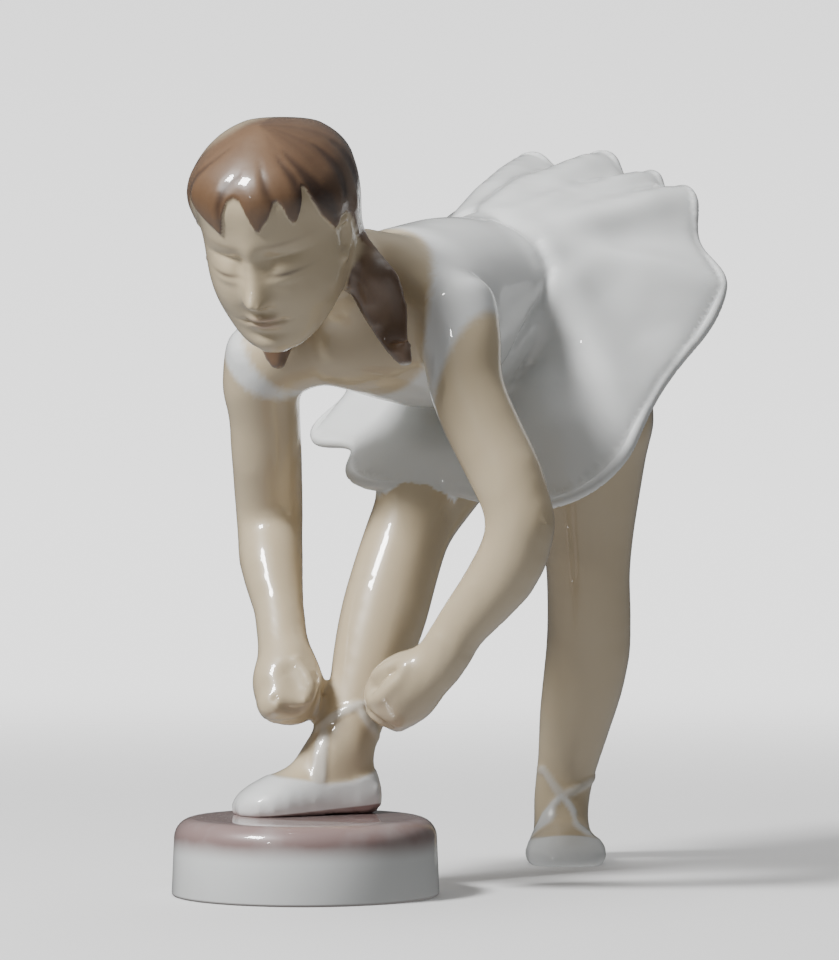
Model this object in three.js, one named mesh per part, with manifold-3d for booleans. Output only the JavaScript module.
// A glazed porcelain figurine: a young dancer stands on one leg, sets the other foot on a low round
// plinth and bends right down to tie her slipper. Millimetres, +Z up. The origin is the centre of the
// plinth's underside, and the dancer faces -Y, so her left side is +X.
import * as THREE from "three";
import { mergeVertices } from "three/addons/utils/BufferGeometryUtils.js";
import Module from "manifold-3d";

const wasm = await Module();
wasm.setup();

const V = (x, y, z) => new THREE.Vector3(x, y, z);
const X = V(1, 0, 0);
const Y = V(0, 1, 0);
const Z = V(0, 0, 1);
const rad = THREE.MathUtils.degToRad;
const mid = (a, b, t, shift = V(0, 0, 0)) => a.clone().lerp(b, t).add(shift);

// Driving dimensions
const PLINTH = { radius: 28.7, height: 16.5, draft: 0.7, round: 4, foot: 0.6 };
const HEEL_RISE = 2.3;
const SLIPPER_HALF_WIDTH = 9.4;
const WAIST_RADIUS = 19.3;
const SKIRT_WALL = 2.4;
const HAIR_DEPTH = 1.3;

// The pose: where the dancer's joints are. `tuck` draws an
// upper arm in below its shoulder, and `bow` swings a forearm out.
const JOINT = {
  head: V(8.3, -17.2, 141.5),
  neck: V(6.5, 6, 130),
  chest: V(6.5, 22, 125),
  waist: V(3.5, 55, 128),
  pelvis: V(1.5, 76, 121),
};
const LEFT = {
  shoulder: V(29, 17.5, 125),
  elbow: V(44.3, 19, 80),
  wrist: V(25.4, 14.2, 49.8),
  fist: V(15.5, 12.5, 43.4),
  tuck: V(-3, -2.5, 0),
  bow: V(1.3, 1.1, -1.2),
  hip: V(12, 82, 112),
  knee: V(5, 92, 66),
  calf: V(0.4, 98, 49),
  ankle: V(-12, 103.5, 14),
  heel: V(-18.4, 109.8, 0),
  toe: V(4.4, 86, 0),
  ground: 0,
};
const RIGHT = {
  shoulder: V(-17.2, 5.2, 115.5),
  elbow: V(-29.5, 21.5, 79.5),
  wrist: V(-14.7, 9, 54),
  fist: V(-9, 5, 43.6),
  tuck: V(0, 0, 0),
  bow: V(-0.5, -0.4, 0),
  hip: V(-8, 72, 112),
  knee: V(-2.5, 37, 77),
  calf: V(-2.4, 29, 60),
  ankle: V(-1, 15, 31.5),
  heel: V(2.3, 20.8, PLINTH.height + HEEL_RISE),
  toe: V(-14.9, -6, PLINTH.height),
  ground: PLINTH.height,
};
const SHOULDER_LINE = LEFT.shoulder.clone().sub(RIGHT.shoulder).normalize();
const KNUCKLE_LINE = V(0.64, -0.77, 0);

// The skirt's hem, key by key: [angle round the waist, distance out, distance back from the waist].
// 0 degrees is her left side and 90 her back. Ridges and hollows of the pleats take turns.
const HEM = [
  [5, 43.5, 34], [25, 34.5, 40], [50, 35, 48], [61, 31, 49], [72, 33, 51], [81, 30, 49.5], [98, 37, 52],
  [112, 35, 48], [126, 45, 49], [138, 41, 44], [149, 46, 44], [161, 40, 36], [174, 45, 30], [187, 40, 19],
  [200, 46, 6], [210, 42, -6], [219, 46.5, -17], [236, 39, -20], [250, 41.5, -27.5], [270, 41.5, -18],
  [308, 54.5, -8], [336, 44.5, 15],
];

// A slipper's sections from heel to toe: [part of the length, part of the half width, height]
const SLIPPER = [
  [0.005, 0.34, 4.5], [0.04, 0.55, 8.6], [0.14, 0.66, 11], [0.34, 0.72, 11.5], [0.54, 0.86, 10],
  [0.72, 1, 8], [0.86, 0.95, 6], [0.945, 0.72, 4.2], [0.985, 0.4, 2.8],
];

// The head in its own axes: x to her left, y to the back of the head, z to the crown. The sections
// run from chin to crown: [height, half width, front, back]
const FACE = V(0.3, -0.79, -0.53).normalize();
const SKULL = [
  [-20.2, 4.8, -16.5, -8], [-17.5, 9.2, -18.2, -3], [-12.5, 13, -18.6, 5], [-6, 15.2, -19, 12],
  [1, 15.7, -19.4, 18], [9, 16, -18.8, 20.5], [15.5, 14.5, -15.8, 17.5], [20.5, 9.7, -9.8, 11.5],
  [23, 3.5, -3, 4],
];

// The tips of the fringe's locks: [turn from the face, row up the head]
const FRINGE = [[-74, 0.57], [-47, 0.65], [-20, 0.64], [10, 0.66], [36, 0.66], [68, 0.57]];

// The locks that fall over her shoulders
const LEFT_LOCK = [
  [V(17.5, -7.5, 142), 3.4, 3.4],
  [V(19.6, -5, 134), 5.2, 4],
  [V(25, -1.8, 125.5), 6.6, 3.6],
  [V(27.8, -0.8, 117.5), 4, 3],
  [V(28.4, -0.2, 112.8), 0.9, 0.9],
];
const RIGHT_LOCK = [
  [V(-3.5, -9, 141), 3.2, 3.2],
  [V(-7, -4.5, 128), 3.8, 3.4],
  [V(-5.6, -3.2, 118), 3.4, 3],
  [V(-4.4, -3.4, 113), 1.6, 1.4],
];

// Rings of points become one closed skin, with a pole at each end
function skin(rings, firstPole, lastPole) {
  const around = rings[0].length;
  const points = [...rings.flat(), firstPole, lastPole];
  const first = points.length - 2;
  const last = points.length - 1;
  const corner = (ring, i) => ring * around + (i % around);
  const faces = [];
  for (let i = 0; i < around; i++) {
    faces.push(first, corner(0, i + 1), corner(0, i));
    faces.push(last, corner(rings.length - 1, i), corner(rings.length - 1, i + 1));
    for (let k = 0; k + 1 < rings.length; k++) {
      faces.push(corner(k, i), corner(k, i + 1), corner(k + 1, i + 1));
      faces.push(corner(k, i), corner(k + 1, i + 1), corner(k + 1, i));
    }
  }
  const geometry = new THREE.BufferGeometry().setFromPoints(points);
  geometry.setIndex(faces);
  return geometry;
}

// A limb is a run of ovals along a smooth spine. Each key is [centre, half width, half depth], and
// may name the direction its width lies along. The ends are rounded off by `cap` times their girth.
function limb(keys, { side = X, around = 12, steps = 12, cap = 0.6 } = {}) {
  const spine = new THREE.CatmullRomCurve3(keys.map((key) => key[0]));
  const girth = new THREE.CatmullRomCurve3(keys.map((key) => V(key[1], key[2], 0)));
  const sides = new THREE.CatmullRomCurve3(keys.map((key) => key[3] ?? side));
  const ring = (t, shrink, along) => {
    const tangent = spine.getTangent(t);
    const width = sides.getPoint(t);
    const across = width.addScaledVector(tangent, -width.dot(tangent)).normalize();
    const depth = tangent.clone().cross(across);
    const { x: halfWidth, y: halfDepth } = girth.getPoint(t);
    const reach = along * cap * Math.sqrt(halfWidth * halfDepth);
    const centre = spine.getPoint(t).addScaledVector(tangent, reach);
    const points = Array.from({ length: around }, (_, i) => {
      const a = (2 * Math.PI * i) / around;
      return centre
        .clone()
        .addScaledVector(across, halfWidth * shrink * Math.cos(a))
        .addScaledVector(depth, halfDepth * shrink * Math.sin(a));
    });
    return { centre, points };
  };
  const rings = [];
  const rounding = rad(45);
  rings.push(ring(0, Math.cos(rounding), -Math.sin(rounding)).points);
  for (let i = 0; i <= steps; i++) rings.push(ring(i / steps, 1, 0).points);
  rings.push(ring(1, Math.cos(rounding), Math.sin(rounding)).points);
  return skin(rings, ring(0, 0, -1).centre, ring(1, 0, 1).centre);
}

function solid(geometry) {
  const plain = geometry.clone();
  plain.deleteAttribute("normal");
  plain.deleteAttribute("uv");
  const merged = mergeVertices(plain, 1e-4);
  return new wasm.Manifold(
    new wasm.Mesh({
      numProp: 3,
      vertProperties: new Float32Array(merged.attributes.position.array),
      triVerts: new Uint32Array(merged.index.array),
    }),
  );
}

// Forms that are joined can shut in a sliver of air or clay, which is dropped
const whole = (manifold) =>
  manifold.decompose().reduce((largest, part) => (part.volume() > largest.volume() ? part : largest));

const joined = (geometries) => geometries.map(solid).reduce((body, form) => body.add(form));

function torso() {
  const { neck: base, chest, waist, pelvis } = JOINT;
  const trunk = limb(
    [
      [mid(base, chest, 0.15, V(0, 0, -0.5)), 12, 11, SHOULDER_LINE],
      [mid(base, chest, 0.6, V(-1, 0, -1.5)), 21.5, 17.5, SHOULDER_LINE],
      [mid(chest, waist, 0.1, V(0, 0, -0.5)), 22, 19.4, mid(SHOULDER_LINE, X, 0.4)],
      [mid(chest, waist, 0.45, V(0, 0, -1.4)), 20.5, 21],
      [mid(chest, waist, 0.75, V(0, 0, -0.6)), 19, 20.4],
      [waist, 18.6, 18.7],
      [mid(waist, pelvis, 0.5), 18.6, 18.6],
      [pelvis, 20, 18.5],
    ],
    { around: 20, steps: 14, cap: 0.4 },
  );
  const yoke = limb(
    [
      [mid(RIGHT.shoulder, base, 0.15, V(0, 3, 1)), 7.5, 7.5],
      [base.clone().add(V(0, 7, 2)), 10, 11.5],
      [mid(LEFT.shoulder, base, 0.15, V(0, 1, 0)), 7.5, 7.5],
    ],
    { side: Y, steps: 6 },
  );
  return [trunk, yoke];
}

function neck() {
  const { neck: base, chest, head } = JOINT;
  const keys = [[mid(base, chest, 0.4), 11, 12], [base, 8.8, 9.6], [mid(base, head, 0.45), 8, 8.4]];
  return limb(keys, { steps: 6 });
}

const footAt = ({ heel, toe }, t, up) => mid(heel, toe, t, V(0, 0, up));

// Both legs share one set of girths. `out` points to the leg's outer side.
function leg(side, out) {
  const { hip, knee, calf, ankle } = side;
  return limb(
    [
      [mid(JOINT.pelvis, hip, 0.45), 15, 15.5],
      [mid(hip, knee, 0.08), 15.2, 15.8],
      [mid(hip, knee, 0.4), 13, 13.8],
      [mid(hip, knee, 0.75), 10.4, 11],
      [knee, 9.3, 9.7],
      [calf, 9.6, 10],
      [mid(calf, ankle, 0.45), 8.2, 8.8],
      [mid(calf, ankle, 0.78), 6.5, 7.2],
      [ankle, 6, 6.6],
      [footAt(side, 0.22, 6.5), 5.4, 5.6],
    ],
    { side: out, steps: 18 },
  );
}

// A soft slipper with a flat sole. Below its edge the sides drop straight to the ground, so a raised
// heel stands on a wedge.
function slipper(side) {
  const { heel, toe, ankle, calf, ground } = side;
  const across = Z.clone().cross(toe.clone().sub(heel)).normalize();
  const edge = 1.8;
  const upper = 9;
  const rings = SLIPPER.map(([t, part, height]) => {
    const at = (x, z) => mid(heel, toe, t).addScaledVector(across, x).setZ(z);
    const sole = mid(heel, toe, t).z;
    const half = SLIPPER_HALF_WIDTH * part;
    const over = Array.from({ length: upper }, (_, i) => {
      const a = (Math.PI * i) / (upper - 1);
      return at(half * Math.cos(a), sole + edge + (height - edge) * Math.sin(a));
    });
    return [...over, at(-0.86 * half, ground), at(0, ground), at(0.86 * half, ground)];
  });
  const pole = (t) => mid(heel, toe, t, V(0, 0, edge));
  const instep = limb(
    [
      [mid(calf, ankle, 0.8), 5.6, 6],
      [mid(ankle, footAt(side, 0.45, 8), 0.45), 6.4, 6.8],
      [footAt(side, 0.45, 6.5), 6.4, 5.6],
      [footAt(side, 0.64, 3.8), 6, 3.6],
    ],
    { side: across, around: 10, steps: 6 },
  );
  return [skin(rings, pole(-0.01), pole(1)), instep];
}

function arm({ shoulder, elbow, wrist, fist: hand, tuck, bow }) {
  return limb(
    [
      [mid(shoulder, JOINT.chest, 0.4), 10, 10.5],
      [mid(shoulder, elbow, 0.02, tuck.clone().multiplyScalar(0.3)), 9.2, 9.8],
      [mid(shoulder, elbow, 0.35, tuck), 7.8, 8.4],
      [mid(shoulder, elbow, 0.6, tuck.clone().multiplyScalar(0.6)), 8, 8.2],
      [elbow, 7.5, 7.8],
      [mid(elbow, wrist, 0.35, bow), 7.3, 7.5],
      [mid(elbow, wrist, 0.75), 5.6, 6],
      [wrist, 5.3, 5.8],
      [mid(wrist, hand, 0.6), 6.4, 7.2],
    ],
    { side: Y, around: 11, steps: 16 },
  );
}

// A loose fist: the palm, the roll of curled fingers below it and the thumb along the top
function fist({ wrist, fist: centre }) {
  const along = centre.clone().sub(wrist).normalize();
  const up = KNUCKLE_LINE.clone().cross(along).normalize();
  up.multiplyScalar(Math.sign(up.z));
  const at = (x, y, z) =>
    centre.clone().addScaledVector(along, x).addScaledVector(KNUCKLE_LINE, y).addScaledVector(up, z);
  const palm = limb([[at(-6, 0, 0), 6.6, 7], [at(-1, -0.5, -0.3), 7.6, 8], [at(4, -0.5, -0.8), 6.4, 6.4]], {
    side: KNUCKLE_LINE, around: 10, steps: 4, cap: 0.7,
  });
  const fingers = limb([[at(3, -5.5, -3.5), 3, 3], [at(3.4, 0, -4), 4, 4], [at(3, 5, -3.5), 3, 3]], {
    side: along, around: 7, steps: 4,
  });
  const thumb = limb([[at(-7, 3, 2.6), 2.4, 2.8], [at(-1, 4.5, 4.2), 2.3, 2.6], [at(4.5, 5, 2.6), 1.8, 2]], {
    side: KNUCKLE_LINE, around: 7, steps: 4,
  });
  return [palm, fingers, thumb];
}

const hemCurve = new THREE.CatmullRomCurve3(
  HEM.map(([angle, out, back]) => V(out * Math.cos(rad(angle)), back, out * Math.sin(rad(angle)))),
  true,
);

function skirt({ perKey = 3, steps = 4, puff = 2 } = {}) {
  const around = perKey * HEM.length;
  const hem = Array.from({ length: around }, (_, i) => hemCurve.getPoint(i / around));
  // `down` runs from 0 at the waist to 1 at the hem, and `inward` is the depth below the outer face
  const ring = (down, inward) =>
    hem.map((edge, i) => {
      const start = V(edge.x, 0, edge.z).setLength(WAIST_RADIUS);
      const fall = edge.clone().sub(start);
      const along = hem[(i + 1) % around].clone().sub(hem[(i + around - 1) % around]);
      const out = fall.clone().cross(along).normalize();
      const lift = puff * Math.sin(Math.PI * down) - inward;
      return start.addScaledVector(fall, down).addScaledVector(out, lift).add(JOINT.waist);
    });
  const rings = [];
  for (let k = 0; k <= steps; k += 2) rings.push(ring(k / steps, SKIRT_WALL));
  rings.push(ring(1.02, SKIRT_WALL / 2));
  for (let k = steps; k >= 0; k--) rings.push(ring(k / steps, 0));
  return skin(rings, mid(JOINT.waist, JOINT.pelvis, 0.4), mid(JOINT.waist, JOINT.chest, 0.3));
}

const headAxes = new THREE.Matrix4().makeBasis(
  FACE.clone().cross(Z).negate().normalize(),
  FACE.clone().negate(),
  FACE.clone().cross(Z).negate().normalize().cross(FACE.clone().negate()),
);
headAxes.setPosition(JOINT.head);
const inHead = (x, y, z) => V(x, y, z).applyMatrix4(headAxes);
const skullWidths = new THREE.CatmullRomCurve3(SKULL.map(([z, half]) => V(z, half, 0)));
const skullDepths = new THREE.CatmullRomCurve3(SKULL.map(([, , front, back]) => V(front, back, 0)));

// A point on the head. `turn` is the angle from the face round to her left ear, `row` goes from 0 at
// the chin to 1 at the crown, and `lift` is the height above the skin.
function onHead(turn, row, lift) {
  const { x: height, y: half } = skullWidths.getPoint(row);
  const { x: front, y: back } = skullDepths.getPoint(row);
  return inHead(
    (half + lift) * Math.sin(rad(turn)),
    (front + back) / 2 - ((back - front) / 2 + lift) * Math.cos(rad(turn)),
    height,
  );
}

function headForm(lift) {
  const rows = 12;
  const around = 17;
  const rings = Array.from({ length: rows + 1 }, (_, k) =>
    Array.from({ length: around }, (_, i) => onHead((360 * i) / around, k / rows, lift)),
  );
  return skin(rings, inHead(0, -12, -21 - lift), inHead(0, 0.5, 23.6 + lift));
}

function face() {
  const nose = limb(
    [
      [inHead(0, -18.6, 1.5), 1.4, 1.2],
      [inHead(0, -20.2, -3.5), 1.8, 1.6],
      [inHead(0, -20.8, -6.2), 2.6, 1.8],
    ],
    { around: 8, steps: 3 },
  );
  const ear = (turn) =>
    limb([[onHead(turn, 0.58, 0), 1.2, 2.2], [onHead(turn, 0.42, 0.2), 0.9, 1.6]], {
      side: Y, around: 8, steps: 2,
    });
  return [nose, ear(95), ear(-95)];
}

// The cap of hair ends on a slope, high over the forehead and low behind the ears
function hairCap() {
  const reach = 60;
  const block = () => new THREE.BoxGeometry(reach, reach, reach);
  const aboveFace = block().translate(0, 0, reach / 2).rotateX(rad(-30)).translate(0, 0, 5);
  const behindEars = block().translate(0, 4 + reach / 2, reach / 2 - 17);
  const kept = joined([aboveFace, behindEars].map((form) => form.applyMatrix4(headAxes)));
  return solid(headForm(HAIR_DEPTH)).intersect(kept);
}

function locks() {
  const fringe = FRINGE.map(([turn, row]) => {
    const root = onHead(turn, row + 0.17, 0.1);
    const belly = onHead(turn, row + 0.08, 0.5);
    const tip = onHead(turn, row, 0.1);
    const across = tip.clone().sub(root).cross(tip.clone().sub(JOINT.head)).normalize();
    return limb([[root, 4.6, 1.4], [belly, 3.6, 1.5], [tip, 0.6, 0.5]], { side: across, around: 6, steps: 4 });
  });
  const falling = [LEFT_LOCK, RIGHT_LOCK].map((keys) => limb(keys, { around: 9, steps: 8 }));
  return [...fringe, ...falling];
}

function plinth() {
  const { radius, height, draft, round, foot } = PLINTH;
  const corner = radius - draft - round;
  const outline = [[0, 0], [radius - foot, 0], [radius, foot]];
  for (let a = 0; a <= 90; a += 18) {
    outline.push([corner + round * Math.cos(rad(a)), height - round * (1 - Math.sin(rad(a)))]);
  }
  outline.push([0, height]);
  const disc = new THREE.LatheGeometry(outline.map(([r, z]) => new THREE.Vector2(r, z)), 44);
  return solid(disc.rotateX(Math.PI / 2));
}

const dancer = joined([
  ...torso(),
  neck(),
  leg(LEFT, V(0.75, -0.66, 0)),
  leg(RIGHT, V(1, 0.1, 0)),
  ...slipper(LEFT),
  ...slipper(RIGHT),
  arm(LEFT),
  arm(RIGHT),
  ...fist(LEFT),
  ...fist(RIGHT),
  skirt(),
  headForm(0),
  ...face(),
  ...locks(),
]).add(hairCap());

const porcelain = (colour) =>
  new THREE.MeshStandardMaterial({ color: colour, roughness: 0.12, metalness: 0 });

const figurine = new THREE.Group();
function piece(name, manifold, colour) {
  const { vertProperties, triVerts } = manifold.getMesh();
  const geometry = new THREE.BufferGeometry();
  geometry.setAttribute("position", new THREE.Float32BufferAttribute(vertProperties, 3));
  geometry.setIndex(new THREE.Uint32BufferAttribute(triVerts, 1));
  const mesh = new THREE.Mesh(geometry, porcelain(colour));
  mesh.name = name;
  figurine.add(mesh);
}
piece("dancer", whole(dancer), 0xe8e4dc);
piece("plinth", plinth(), 0xb8a3a0);

export default figurine;
